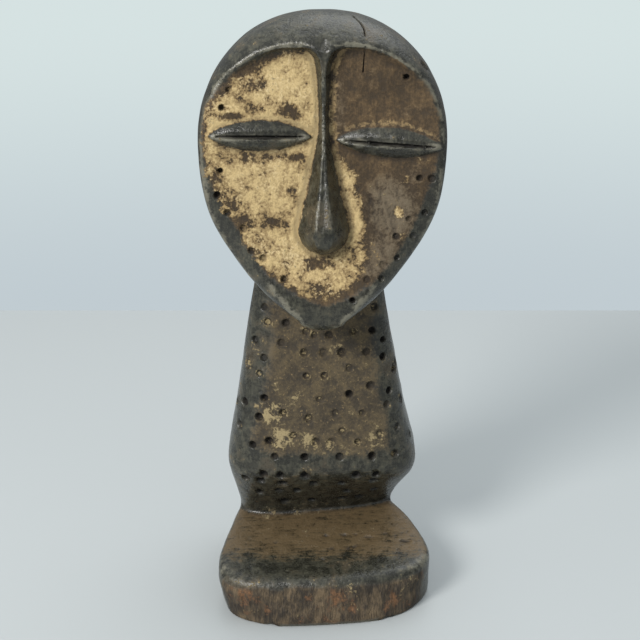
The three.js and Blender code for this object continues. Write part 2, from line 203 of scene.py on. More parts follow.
# Ochre dust: x, y, z and how far each patch reaches, then its share.
OCHRE_PATCHES = [
    (-21, -4, 84, 9, 0.8), (-21, -4, 96, 5, 0.6), (-12, -5, 93, 6, 0.45), (-18, -6, 71, 7, 0.75),
    (-5, -6, 70, 6, 0.6), (4, -7, 68, 4, 0.75), (10, -5, 66, 5, 0.35), (26, -4, 70, 6, 0.6),
    (13, -5, 82, 3, 0.5), (8, -2, 113, 5, 0.5), (0, -2, 118, 5, 0.35), (-24, 2, 130, 4, 0.5),
    (14, -1, 104, 5, 0.3), (34, -3, 62, 4, 0.4),
    (-24, 7, 26, 6, 0.6), (-12, 8, 25.6, 6, 0.5), (2, 9, 25.5, 7, 0.35), (38, -37, 16, 6, 0.5),
    (14, -43, 16, 4, 0.55), (16, -42, 9, 4, 0.4), (26, -40, 3, 6, 0.4), (-10, -44, 3, 5, 0.3),
]


def smooth(value, low, high):
    """0 below low, 1 above high, and a soft rise between."""
    share = np.clip((value - low) / (high - low), 0, 1)
    return share * share * (3 - 2 * share)


def curve(pairs):
    """A function that gives the smooth curve through [position, value] pairs, level beyond its ends."""
    at, value = np.array(pairs, float).T
    slope = np.gradient(value)
    slope[0] = (value[1] - value[0]) / (at[1] - at[0])
    slope[-1] = (value[-1] - value[-2]) / (at[-1] - at[-2])
    slope[1:-1] = (value[2:] - value[:-2]) / (at[2:] - at[:-2])
    places = np.linspace(at[0], at[-1], 40 * len(at))
    k = np.clip(np.searchsorted(at, places, side="right") - 1, 0, len(at) - 2)
    span = at[k + 1] - at[k]
    t = (places - at[k]) / span
    start = (1 + 2 * t) * (1 - t) ** 2 * value[k] + t * (1 - t) ** 2 * span * slope[k]
    end = t * t * (3 - 2 * t) * value[k + 1] - t * t * (1 - t) * span * slope[k + 1]
    return lambda where: np.interp(where, places, start + end)


def closed_curve(outline, count):
    """Points round the smooth closed curve through an outline's points."""
    points = np.array(outline, float)
    wrapped = np.vstack([points[-3:], points, points[:4]])
    steps = np.linalg.norm(np.diff(wrapped, axis=0), axis=1) ** 0.5
    at = np.concatenate([[0], np.cumsum(steps)])
    places = np.linspace(at[3], at[3 + len(points)], count, endpoint=False)
    return np.stack([curve(list(zip(at, wrapped[:, k])))(places) for k in (0, 1)], axis=1)


def nearest_on(points, starts, ends):
    """The distance from each point to the nearest of some straight stretches."""
    least = np.full(len(points), np.inf)
    for start, end in zip(starts, ends):
        along = end - start
        share = np.clip((points - start) @ along / (along @ along), 0, 1)
        gap = np.linalg.norm(points - start - share[:, None] * along, axis=1)
        least = np.minimum(least, gap)
    return least


def outside(points, ring):
    """How far points are outside a closed ring of a plane; less than 0 inside."""
    nexts = np.roll(ring, -1, axis=0)
    inside = np.zeros(len(points), bool)
    for (x0, y0), (x1, y1) in zip(ring, nexts):
        spans = (y0 > points[:, 1]) != (y1 > points[:, 1])
        crossing = x0 + (points[:, 1] - y0) * (x1 - x0) / (y1 - y0 if y1 != y0 else 1)
        inside ^= spans & (points[:, 0] < crossing)
    gap = nearest_on(points, ring, nexts)
    return np.where(inside, -gap, gap)


def lumps(points, size, seed):
    """Smooth random swells of about the given size, from -1 to 1."""
    cells = 40
    lattice = np.random.default_rng(seed).uniform(-1, 1, (cells, cells, cells))
    spot = points / size
    low = np.floor(spot).astype(int)
    part = spot - low
    part = part * part * (3 - 2 * part)
    total = np.zeros(len(points))
    for corner in np.ndindex(2, 2, 2):
        weight = np.prod(np.where(corner, part, 1 - part), axis=1)
        total += weight * lattice[tuple(((low + corner) % cells).T)]
    return total


def distance(field, points):
    """A field's value, scaled to be the distance to where it is 0."""
    step = 0.05
    value = field(points)
    slope = np.stack([(field(points + step * axis) - value) / step for axis in np.eye(3)], axis=1)
    return value / np.maximum(np.linalg.norm(slope, axis=1), 1e-4)


def where_near(near, field, points):
    """A form's distance where it is near, and a far one elsewhere."""
    result = np.full(len(points), FAR)
    result[near] = field(points[near])
    return result


def round_off(a, b, reach):
    """Outside either of two cuts, with the edge between them worn round."""
    shared = np.maximum(reach - np.abs(a - b), 0) / reach
    return np.maximum(a, b) + reach * shared * shared / 4


def fill_in(a, b, reach):
    """Inside either of two forms, with the corner between them filled."""
    return -round_off(-a, -b, reach)


def egg_share(z):
    """How full the head's egg is at a height, from 0 at its poles to 1 where it is widest."""
    upper = np.clip((z - HEAD["widest_z"]) / (HEAD["crown_z"] - HEAD["widest_z"]), 0, 1)
    lower = np.clip((HEAD["widest_z"] - z) / (HEAD["widest_z"] - HEAD["chin_z"]), 0, 1)
    above = (1 - upper**2) ** 0.47
    below = (1 - lower**2.4) ** 0.87 + 0.35 * np.sqrt(1 - lower**2) * lower**12
    return np.where(z >= HEAD["widest_z"], above, below)


def egg_axis(z):
    """The y of the head's leaning axis at a height."""
    share = (z - HEAD["chin_z"]) / (HEAD["crown_z"] - HEAD["chin_z"])
    return HEAD["chin_y"] + share * (HEAD["crown_y"] - HEAD["chin_y"])


def egg_field(points):
    x, y, z = points.T
    off = y - egg_axis(z)
    across = np.abs(x - HEAD["centre_x"]) / HEAD["half_width"]
    along = np.abs(off) / np.where(off < 0, HEAD["front_depth"], HEAD["back_depth"])
    full = (across ** HEAD["squareness"] + along ** HEAD["squareness"]) ** (2 / HEAD["squareness"])
    beyond = np.maximum(z - HEAD["crown_z"], 0) + np.maximum(HEAD["chin_z"] - z, 0)
    return full - egg_share(z) ** 2 + 0.01 * beyond


ground_curve = curve(FACE_GROUND)
crest_curve = curve(NOSE_CREST)
nose_half_width = curve(NOSE_HALF_WIDTH)
crest_share = curve(NOSE_CREST_SHARE)
nose_side_power = curve(NOSE_SIDE_POWER)


def brow_drop(x, z):
    """How much lower the brow lies at x than in the middle, felt only above the eyes."""
    beyond = np.maximum(np.abs(x - HEAD["centre_x"]) - BROW["flat_half"], 0) / BROW["reach"]
    drop = np.minimum(BROW["fall"] * beyond**2.2, BROW["most_fall"])
    return drop * smooth(z, BROW["felt_from"], BROW["felt_to"])


def from_slit(eye, x, z):
    """Where a point is along a slit, from -1 to 1, and how far above it."""
    return (x - eye["x"]) / eye["half_length"], z - eye["z"] - eye["tilt"] * (x - eye["x"])


def lid_reach(eye, x, z):
    """How far a point is from the slit, as a share of the lid's width there, and the lid's taper."""
    along, above = from_slit(eye, x, z)
    taper = np.clip(1 - along**2, 0, 1)
    reach = np.where(above > 0, eye["up"], eye["down"]) * np.maximum(taper, 1e-6) ** 0.75
    return np.abs(above) / reach, taper


def lid_share(eye, x, z):
    """How far a point is up a lid, from 0 beyond its rim to 1 at the slit."""
    out, taper = lid_reach(eye, x, z)
    return np.clip(1 - out**1.7, 0, 1) * taper**0.6


def lid_border(eye, x, z):
    """Whether a point lies on the narrow band just above a lid, from 0 to 1."""
    along, above = from_slit(eye, x, z)
    gap = above - eye["up"] * np.clip(1 - along**2, 0, 1) ** 0.75
    return smooth(gap, -0.8, 0.4) * (1 - smooth(gap, 1, 3)) * (np.abs(along) < 1.04)


def nose_share(x, z):
    """How far out of the face a point of the nose is, from 0 at its foot to 1 on its crest's edges."""
    out = np.abs(x - NOSE_X) / nose_half_width(z)
    crest = crest_share(z)
    fall = np.clip((NOSE_FOOT - out) / (NOSE_FOOT - crest), 0, 1) ** nose_side_power(z)
    groove = NOSE_GROOVE * np.clip(1 - (out / crest) ** 2, 0, 1) * smooth(z, 176, 184)
    return np.where(z > NOSE_CREST[0][0], fall - groove, 0)


def face_y(x, z):
    """The y of the carved face at a point seen from the front."""
    across = np.abs(x - HEAD["centre_x"])
    y = ground_curve(z + brow_drop(x, z + 6)) - DISH * np.minimum(across / DISH_HALF_WIDTH, 1.2) ** 2
    edge = across / np.maximum(HEAD["half_width"] * egg_share(z), 12)
    y = y + JAW_ROLL * smooth(edge, 0.68, 1.1) * (1 - smooth(z, 160, 205))
    for eye in EYES:
        y = y - LID_RISE * lid_share(eye, x, z)
    fall = nose_share(x, z)
    return np.minimum(y, y + fall * (crest_curve(z) - y))


def face_field(points):
    return face_y(points[:, 0], points[:, 2]) - points[:, 1]


trunk_sides = [curve([(row[0], row[k]) for row in TRUNK]) for k in range(1, 6)]


def trunk_frame(x, y, z):
    """Where points lie in the trunk's turned section, as shares of its half sizes."""
    left, right, front, back, turn = (side(z) for side in trunk_sides)
    turn = np.radians(turn)
    off_x = x - (left + right) / 2
    off_y = y - (front + back) / 2
    across = (np.cos(turn) * off_x + np.sin(turn) * off_y) / ((right - left) / 2)
    along = (np.cos(turn) * off_y - np.sin(turn) * off_x) / ((back - front) / 2)
    return across, along


def trunk_field(points):
    across, along = trunk_frame(*points.T)
    reach = (np.abs(across) ** TRUNK_SQUARENESS + np.abs(along) ** TRUNK_SQUARENESS) ** (1 / TRUNK_SQUARENESS)
    return reach - 1 + 0.05 * np.maximum(points[:, 2] - TRUNK_TOP, 0)


foot_ring = closed_curve(FOOT_OUTLINE, 132)


def foot_height(y, z):
    """How high a point would be in a slab whose upper face didn't rise to the notch."""
    return z / (1 + FOOT["rise"] * np.maximum(y + 45, 0) / FOOT["thickness"])


def foot_distance(points):
    x, y, z = points.T
    height = foot_height(y, z)
    corner = smooth(np.abs(x - 2) - y, 64, 80)
    worn = FOOT["corner_wear"] * corner * (1 - np.clip(height / 14, 0, 1))
    lean = FOOT["lean"] * smooth(-y, 20, 40) * (height / FOOT["thickness"] - FOOT["lean_pivot"])
    plan = np.stack([x + np.sign(x) * worn, y - worn - lean], axis=1)
    return round_off(outside(plan, foot_ring), height - FOOT["top"], SOFT["slab_edge"])


def carved(points):
    """How far points are outside the carved block; less than 0 inside."""
    z = points[:, 2]
    high = z > 105

    def head_distance(p):
        rim = SOFT["jaw"] + (SOFT["brow"] - SOFT["jaw"]) * smooth(p[:, 2], 205, 235)
        return round_off(distance(egg_field, p), distance(face_field, p), rim)

    head = where_near(high, head_distance, points)
    trunk = where_near(z < 195, lambda p: distance(trunk_field, p), points)
    foot = where_near(z < 50, foot_distance, points)
    block = fill_in(fill_in(head, trunk, SOFT["nape"]), foot, SOFT["notch"])
    return round_off(block, -z, SOFT["underside"])


def slope_of(points):
    """The distance out of the carved block at each point, and the way it grows."""
    step = 0.05
    value = carved(points)
    slope = np.stack([(carved(points + step * axis) - value) / step for axis in np.eye(3)], axis=1)
    return value, slope


def onto_form(points, rounds):
    """Moves points onto the surface of the carved block."""
    for _ in range(rounds):
        value, slope = slope_of(points)
        steepness = np.maximum((slope**2).sum(axis=1), 0.3)
        points = points - (np.clip(value, -3, 3) / steepness)[:, None] * slope
    return points


def positions(bm):
    return np.array([v.co for v in bm.verts])


def set_positions(bm, points):
    for vert, point in zip(bm.verts, points):
        vert.co = point


def drum(sides, rings):
    """A closed drum of unit radius from z 0 to 1 with rings of points round it."""
    bm = bmesh.new()
    bmesh.ops.create_cone(bm, cap_ends=True, segments=sides, radius1=1, radius2=1, depth=1)
    upright = [e for e in bm.edges if abs(e.verts[0].co.z - e.verts[1].co.z) > 0.5]
    bmesh.ops.subdivide_edges(bm, edges=upright, cuts=rings, use_grid_fill=True)
    bmesh.ops.translate(bm, vec=(0, 0, 0.5), verts=bm.verts)
    return bm


def squared(across, along, power):
    """How far out the rim of a squarish section lies, for points on a round one."""
    return 1 / np.maximum(np.abs(across) ** power + np.abs(along) ** power, 1e-9) ** (1 / power)


def rough_head():
    bm = bmesh.new()
    bmesh.ops.create_uvsphere(bm, u_segments=128, v_segments=96, radius=1)
    across, along, up = positions(bm).T
    flat = np.maximum(np.hypot(across, along), 1e-6)
    across, along = across / flat, along / flat
    z = HEAD["chin_z"] + (up + 1) / 2 * (HEAD["crown_z"] - HEAD["chin_z"])
    reach = egg_share(z) * squared(across, along, HEAD["squareness"])
    depth = np.where(along < 0, HEAD["front_depth"], HEAD["back_depth"])
    x = HEAD["centre_x"] + HEAD["half_width"] * across * reach
    y = egg_axis(z) + depth * along * reach
    set_positions(bm, np.stack([x, np.maximum(y, face_y(x, z)), z], axis=1))
    return bm


def rough_trunk():
    bm = drum(96, 60)
    across, along, up = positions(bm).T
    z = up * TRUNK_TOP
    left, right, front, back, turn = (side(z) for side in trunk_sides)
    reach = squared(across, along, TRUNK_SQUARENESS)
    x = across * reach * (right - left) / 2
    y = along * reach * (back - front) / 2
    c, s = np.cos(np.radians(turn)), np.sin(np.radians(turn))
    set_positions(bm, np.stack([c * x - s * y + (left + right) / 2, s * x + c * y + (front + back) / 2, z], axis=1))
    return bm


def rough_foot():
    """The slab's outline, with each point of a round drum moved to the outline's point in its direction."""
    middle = foot_ring.mean(axis=0)
    off = foot_ring - middle
    turns = np.arctan2(off[:, 1], off[:, 0])
    bm = drum(len(foot_ring), 12)
    across, along, up = positions(bm).T
    nearest = np.abs((np.arctan2(along, across)[:, None] - turns + np.pi) % (2 * np.pi) - np.pi).argmin(axis=1)
    x, y = foot_ring[nearest].T
    set_positions(bm, np.stack([x, y, up * (FOOT["top"] + FOOT["rise"] * np.maximum(y + 45, 0))], axis=1))
    return bm


def joined(forms):
    """One mesh of several separate ones."""
    whole = bmesh.new()
    for form in forms:
        mesh = bpy.data.meshes.new("form")
        form.to_mesh(mesh)
        form.free()
        whole.from_mesh(mesh)
        bpy.data.meshes.remove(mesh)
    return whole


def remeshed(bm, size):
    """The one closed skin of a rough block, in even squares of a size."""
    mesh = bpy.data.meshes.new("rough_block")
    bm.to_mesh(mesh)
    bm.free()
    block = bpy.data.objects.new("rough_block", mesh)
    bpy.context.scene.collection.objects.link(block)
    remesh = block.modifiers.new("Skin", "REMESH")
    remesh.mode = "VOXEL"
    remesh.voxel_size = size
    graph = bpy.context.evaluated_depsgraph_get()
    skin = bmesh.new()
    skin.from_object(block, graph)
    bpy.data.objects.remove(block)
    bpy.data.meshes.remove(mesh)
    return skin


def refine(bm, near, finest, rounds):
    """Splits the faces of a region in four, a few times over, unless they are fine enough."""
    for _ in range(rounds):
        faces = [f for f in bm.faces if f.calc_area() > (1.5 * finest) ** 2]
        chosen = near(np.array([f.calc_center_median() for f in faces]))
        edges = {e for f, wanted in zip(faces, chosen) if wanted for e in f.edges}
        bmesh.ops.subdivide_edges(bm, edges=list(edges), cuts=1, use_grid_fill=True)


def bored_holes(node):
    """Each hole of the solid, from its flat six-sided floor: its mouth, the way out of it and its radius."""
    bm = bmesh.new()
    bm.from_mesh(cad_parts[node].data)
    bmesh.ops.remove_doubles(bm, verts=bm.verts, dist=1e-6)
    bmesh.ops.dissolve_limit(bm, angle_limit=math.radians(0.6), verts=bm.verts, edges=bm.edges)
    holes = []
    for face in bm.faces:
        sides = [e.calc_length() / MM for e in face.edges]
        if len(sides) == 6 and max(sides) < 1.05 * min(sides) and 0.9 < min(sides) < 1.5:
            mouth = np.array(face.calc_center_median()) / MM + MIDDLE + BORE_DEPTH * np.array(face.normal)
            holes.append((mouth, np.array(face.normal), sum(sides) / 6 / BORE_TAPER))
    bm.free()
    return sorted(holes, key=lambda hole: tuple(hole[0].round(1)))


def on_face(points, reach):
    """Whether points lie on the carved face."""
    x, y, z = points.T
    return (z > 134) & (z < 254) & (np.abs(face_y(x, z) - y) < reach) & (y < -5)


def near_fine_cut(points):
    """Whether points are near the slits, the nose's thin ridge or the brow's edge."""
    x, y, z = points.T
    near = (np.abs(x - NOSE_X) < nose_half_width(z) * 1.15 + 0.4) & (z > 196)
    for eye in EYES:
        along, above = from_slit(eye, x, z)
        near |= (np.abs(along) < 1) & (np.abs(above) < 1.3)
    near &= on_face(points, 1.5)
    edge = (np.abs(distance(egg_field, points)) < 1.3) & (np.abs(distance(face_field, points)) < 1.3)
    return near | (edge & (z > 232))


def from_crack(points):
    """The distance from the crack's track, across it."""
    line = np.array(CRACK) * CRACK_DEPTH_SCALE
    return nearest_on(points * CRACK_DEPTH_SCALE, line[:-1], line[1:])


def near_holes(points, holes, reach):
    near = np.zeros(len(points), bool)
    for mouth, way, radius in holes:
        off = points - mouth
        deep = off @ way
        aside = np.linalg.norm(off - deep[:, None] * way, axis=1)
        near |= (aside < radius * reach) & (np.abs(deep) < 3)
    return near


def press_holes(points, holes):
    """How holes sink points, how dark each point of them is, as painted shade and dirt that deepen with the hole, and
    how dusty their floors and rims are.
    """
    rng = np.random.default_rng(7)
    moves = np.zeros_like(points)
    dark = np.zeros(len(points))
    dust = np.zeros(len(points))
    deep_ones = np.array(DEEP_HOLES)
    for mouth, way, radius in holes:
        grown, depth, dusty = rng.uniform(1, 1.3), rng.uniform(0.7, 1.7), rng.uniform(0, 1)
        oval = rng.uniform(0.86, 1.1)
        on_trunk = 58 < mouth[2] < 134
        undercut = mouth[2] < 58
        black = undercut or np.min(np.hypot(*(deep_ones - mouth[[0, 2]]).T)) < 2.2
        if black:
            depth, dusty = 2.6, 0
        if undercut:
            grown, oval = rng.uniform(1.3, 1.7), 0.9
        off = points - mouth
        off_way = off @ way
        aside_vector = off - off_way[:, None] * way
        aside_vector[:, 2] *= oval
        aside = np.linalg.norm(aside_vector, axis=1) / (radius * grown)
        close = (aside < 1.7) & (np.abs(off_way) < 3.5)
        bowl = depth * (1 - smooth(aside, 0.55, 1.05))
        lip = 0.22 * smooth(aside, 0.95, 1.15) * (1 - smooth(aside, 1.15, 1.6))
        moves -= np.where(close, bowl - lip, 0)[:, None] * way
        inside = np.where(close, 1 - smooth(aside, 0.7, 1.1), 0)
        # The dark in a hole grows with its depth: painted shade with some dirt.
        dark = np.maximum(dark, inside * (1 if black else 0.3 + 0.35 * depth * (1 - 0.7 * dusty)))
        rim = np.where(close, smooth(aside, 0.75, 1.05) * (1 - smooth(aside, 1.15, 1.5)), 0)
        floor = np.where(close, 1 - smooth(aside, 0.5, 0.85), 0)
        dust = np.maximum(dust, on_trunk * np.maximum(rim * 0.5 * dusty, floor * 0.55 * (dusty > 0.35)))
    return moves, dark, dust


def press_slits(points):
    """How deep the knife cuts between the lids are; the upper lid rolls in and the lower has an edge."""
    x, _, z = points.T
    depth = np.zeros(len(points))
    for eye in EYES:
        along, above = from_slit(eye, x, z)
        fullness = np.sqrt(np.clip(1 - (along / SLIT["share"]) ** 2, 0, 1))
        open_ = SLIT["half_height"] * fullness
        cut = np.clip(1 - np.abs(above) / (open_ + 0.25), 0, 1)
        rolled = 0.8 * np.exp(-((above - open_) / 1.4) ** 2) * (above > 0)
        edge = 0.3 * np.exp(-(((above + open_ + 0.7) / 0.5) ** 2))
        depth += (SLIT["depth"] * smooth(cut, 0, 0.75) + rolled - edge) * fullness**0.5
    return depth * on_face(points, 1.5)


def press_cracks(points):
    """How deep the crack of the head and those of the slab are."""
    sunk = 1.2 * (1 - smooth(from_crack(points), 0.1, 0.32))
    for track in SLAB_CRACKS:
        line = np.array(track, float)
        gap = nearest_on(points, line[:-1], line[1:])
        sunk = np.maximum(sunk, 0.8 * (1 - smooth(gap, 0.15, 0.5)))
    return sunk


def press_chips(points):
    sunk = np.zeros(len(points))
    for *place, reach, depth in CHIPS:
        gap = np.linalg.norm(points - place, axis=1) + 0.5 * lumps(points, 1.4, 21)
        sunk = np.maximum(sunk, depth * (1 - smooth(gap, 0.4 * reach, reach)))
    return sunk


def press_gouges(points):
    """How deep the short upright gouges in the cheek are."""
    rng = np.random.default_rng(17)
    front = points[:, [0, 2]]
    sunk = np.zeros(len(points))
    for _ in range(GOUGES["count"]):
        middle = np.array([rng.uniform(*GOUGES["x"]), rng.uniform(*GOUGES["z"])])
        lean, length = rng.uniform(-0.35, 0.15), rng.uniform(*GOUGES["length"])
        half_width = rng.uniform(*GOUGES["half_width"])
        half = np.array([lean, 1]) * length / 2
        gap = nearest_on(front, [middle - half], [middle + half])
        sunk = np.maximum(sunk, 0.45 * (1 - smooth(gap, 0, half_width * 1.5)))
    return sunk * on_face(points, 1.5)


def press_slab_pits(points):
    x, y, z = points.T
    sunk = np.zeros(len(points))
    for at_x, at_y, half_length, half_width, depth in SLAB_PITS:
        gap = np.hypot((x - at_x) / half_length, (y - at_y) / half_width)
        sunk = np.maximum(sunk, depth * (1 - smooth(gap, 0.4, 1.1)))
    return sunk * ((z > 18) & (z < 30))


def on_slab_front(points, out):
    """How much a point belongs to the slab's rough front, from 0 to 1."""
    z = points[:, 2]
    edge = 17.5 + 1.2 * lumps(points, 9, 31)
    return smooth(-out[:, 1], 0.35, 0.7) * (1 - smooth(z, edge - 1.5, edge + 1)) * (points[:, 1] < -20)


def soft_patches(points, patches):
    """The shares of oval patches, added up at each point of a plane."""
    total = np.zeros(len(points))
    for at_x, at_z, half_width, half_height, share in patches:
        gap = np.hypot((points[:, 0] - at_x) / half_width, (points[:, 1] - at_z) / half_height)
        total += share * (1 - smooth(gap, 0.3, 1.4))
    return total


def nose_edge_highlights(points):
    """Painted highlights along the two narrow edges of the nose's crest, the left one brighter as if lit from the
    left.
    """
    x, _, z = points.T
    off = x - NOSE_X
    gap = np.abs(off) - nose_half_width(z) * crest_share(z)
    felt = on_face(points, 1.6) * smooth(z, 176, 180) * (1 - smooth(z, 236, 246))
    return np.exp(-((gap / 0.45) ** 2)) * felt * np.where(off < 0, 1, 0.6)


def standing_out(bm, out, rounds):
    """How far each point stands out of its evened surroundings, in mm; less than 0 in a hollow."""
    points = positions(bm)
    ends = np.array([[v.index for v in e.verts] for e in bm.edges])
    both = np.concatenate([ends, ends[:, ::-1]])
    count = np.bincount(both[:, 0], minlength=len(points))
    even = points
    for _ in range(rounds):
        total = [np.bincount(both[:, 0], even[both[:, 1], k], len(points)) for k in range(3)]
        even = (even + np.stack(total, axis=1) / count[:, None]) / 2
    return ((points - even) * out).sum(axis=1)


def face_shares(points, out):
    """Where clay, its brown ground and the weathered ground lie on the face."""
    front = points[:, [0, 2]]
    x, _, z = points.T
    face = on_face(points, 1.6) * smooth(-out[:, 1], 0.05, 0.35)
    nose = smooth(nose_share(x, z), 0.02, 0.3)
    lids = np.max([smooth(lid_share(eye, x, z), 0.03, 0.3) for eye in EYES], axis=0)
    bare = np.clip(nose + lids, 0, 1)
    clay = 0.92 * (1 - smooth(outside(front, np.array(CLAY_OUTLINE, float)), -3, 4))
    clay += soft_patches(front, CLAY_PATCHES)
    beside_nose = (NOSE_X - x) - nose_half_width(z)
    clay += 0.35 * smooth(beside_nose, -0.5, 0.5) * (1 - smooth(beside_nose, 1, 4)) * smooth(z, 164, 172)
    borders = np.max([lid_border(eye, x, z) for eye in EYES], axis=0)
    clay += 0.4 * borders * (x < 0)
    right_of_nose = (x - NOSE_X) - nose_half_width(z)
    strip = smooth(right_of_nose, -0.3, 0.6) * (1 - smooth(right_of_nose, 1.2, 4.5)) * smooth(z, 164, 172)
    stain = 1 - smooth(outside(front, np.array(STAIN_OUTLINE, float)), -2.5, 2.5)
    weathered = np.clip(soft_patches(front, WEATHERED), 0, 1) * (x > 3)
    tan = np.clip(strip * 0.75 + 0.5 * borders * (x > 0), 0, 1)
    kept = face * (1 - bare)
    return {
        "clay": np.clip(clay, 0, 1.5) * kept,
        "stain": stain * kept,
        "weathered": weathered * kept,
        "tan": tan * kept,
    }


def body_shares(points, out):
    """Where the crust of the trunk, its ochre and the finishes of the slab lie."""
    front = points[:, [0, 2]]
    x, y, z = points.T
    in_front = smooth(-out[:, 1], 0.5, 0.85) * (z < 142) * (z > 57) * (y > -19)
    crust = 1 - smooth(outside(front, np.array(CRUST_OUTLINE, float)), -6, 4)
    ochre = np.zeros(len(points))
    for at_x, at_y, at_z, reach, share in OCHRE_PATCHES:
        gap = np.linalg.norm(points - (at_x, at_y, at_z), axis=1) / reach
        ochre = np.maximum(ochre, share * (1 - smooth(gap, 0.1, 1.5)))
    slab_top = smooth(out[:, 2], 0.6, 0.85) * (z < 32) * (z > 12)
    undercut = smooth(z, 24, 30) * (1 - smooth(z, 53, 58)) * smooth(-out[:, 1], 0.3, 0.6) * (y < 18)
    return {
        "crust": crust * in_front,
        "ochre": ochre,
        "fibre": on_slab_front(points, out),
        "slab_brown": slab_top * smooth(y, -38, -16),
        "undercut": undercut,
    }


def carve(settings):
    """The carved block as a mesh in millimetres, with the share of each finish on its points."""
    bm = remeshed(joined([rough_head(), rough_trunk(), rough_foot()]), settings.grain)
    points = onto_form(positions(bm), 4)
    set_positions(bm, points)
    _, slope = slope_of(points)
    out = slope / np.linalg.norm(slope, axis=1)[:, None]
    bm.verts.index_update()
    layer = bm.verts.layers.float.new("standing_out")
    for vert, value in zip(bm.verts, standing_out(bm, out, 8)):
        vert[layer] = value
    holes = bored_holes("figure")
    refine(bm, lambda p: on_face(p, 1.6), settings.grain / 2, 1)
    set_positions(bm, onto_form(positions(bm), 2))
    refine(bm, near_fine_cut, settings.grain / 4, 1)
    refine(bm, lambda p: near_holes(p, holes, 1.5), settings.grain / 4, 2)
    refine(bm, lambda p: from_crack(p) < 0.9, settings.grain / 6, 3)
    refine(bm, lambda p: (p[:, 1] < -30) & (p[:, 2] > 1) & (p[:, 2] < 20), settings.grain / 2, 1)
    refine(bm, lambda p: press_slab_pits(p) > 0, settings.grain / 4, 2)
    points = onto_form(positions(bm), 3)
    _, slope = slope_of(points)
    out = slope / np.linalg.norm(slope, axis=1)[:, None]
    stands = np.array([vert[layer] for vert in bm.verts])
    shares = {**face_shares(points, out), **body_shares(points, out)}
    nose = smooth(nose_share(points[:, 0], points[:, 2]), 0.1, 0.5) * on_face(points, 1.6)
    # Pale edges: partly real wear where the surface stands out, partly a painted highlight; on the nose, painted
    # highlight lines along the crest's edges.
    shares["worn"] = smooth(stands, 0.1, 0.55) * (1 - 0.8 * nose) + 0.8 * nose_edge_highlights(points)
    # Painted shade, with some dirt, in the hollows of the surface.
    shares["crease_shade_and_dirt"] = smooth(-stands, 0.06, 0.45)
    moves, dark, dust = press_holes(points, holes)
    cuts, cracks, chips = press_slits(points), press_cracks(points), press_chips(points)
    pits, gouges = press_slab_pits(points), press_gouges(points)
    sunk = np.max([cracks, chips, pits, gouges], axis=0)
    standing = smooth(points[:, 2], 1, 4)
    swell = settings.tool_marks * (0.7 * lumps(points, 14, 1) + 0.3 * lumps(points, 5, 2))
    upright = lumps(points * (1, 1, 0.22), 1.3, 3) + 0.6 * lumps(points * (1, 1, 0.4), 3.4, 4)
    level = lumps(points * (0.2, 1, 1), 1.8, 6)
    rough_ground = 0.1 * lumps(points, 1.6, 5) * (shares["stain"] + shares["crust"])
    levelled = 0.12 * level * (shares["undercut"] + shares["slab_brown"])
    relief = (swell + rough_ground + levelled + 0.5 * upright * shares["fibre"]) * standing - sunk
    points = points + moves + relief[:, None] * out
    points[:, 1] += cuts
    # Holes, slits, cracks, pits, chips and gouges are darkened by their depth: painted shade with some dirt.
    depth_shade_and_dirt = dark + np.clip(cuts / 1.8, 0, 1) + cracks * 1.2 + 0.8 * pits + 0.35 * chips + 1.1 * gouges
    shares["hollow"] = np.clip(depth_shade_and_dirt, 0, 1)
    shares["ochre"] = np.maximum(shares["ochre"], dust)
    set_positions(bm, (points - MIDDLE) * MM)
    bm.verts.layers.float.remove(layer)
    bmesh.ops.recalc_face_normals(bm, faces=bm.faces)
    print(f"carved {len(bm.verts)} points, {sum(len(f.verts) - 2 for f in bm.faces)} triangles, {len(holes)} holes")
    return bm, shares


class Socket:
    """An output of a shader node that takes part in sums: each operator adds a Math node."""

    def __init__(self, shader, output):
        self.shader = shader
        self.output = output

    def __add__(self, other):
        return self.shader.math("ADD", self, other)

    def __radd__(self, other):
        return self.shader.math("ADD", other, self)

    def __sub__(self, other):
        return self.shader.math("SUBTRACT", self, other)

    def __rsub__(self, other):
        return self.shader.math("SUBTRACT", other, self)

    def __mul__(self, other):
        return self.shader.math("MULTIPLY", self, other)

    def __rmul__(self, other):
        return self.shader.math("MULTIPLY", other, self)


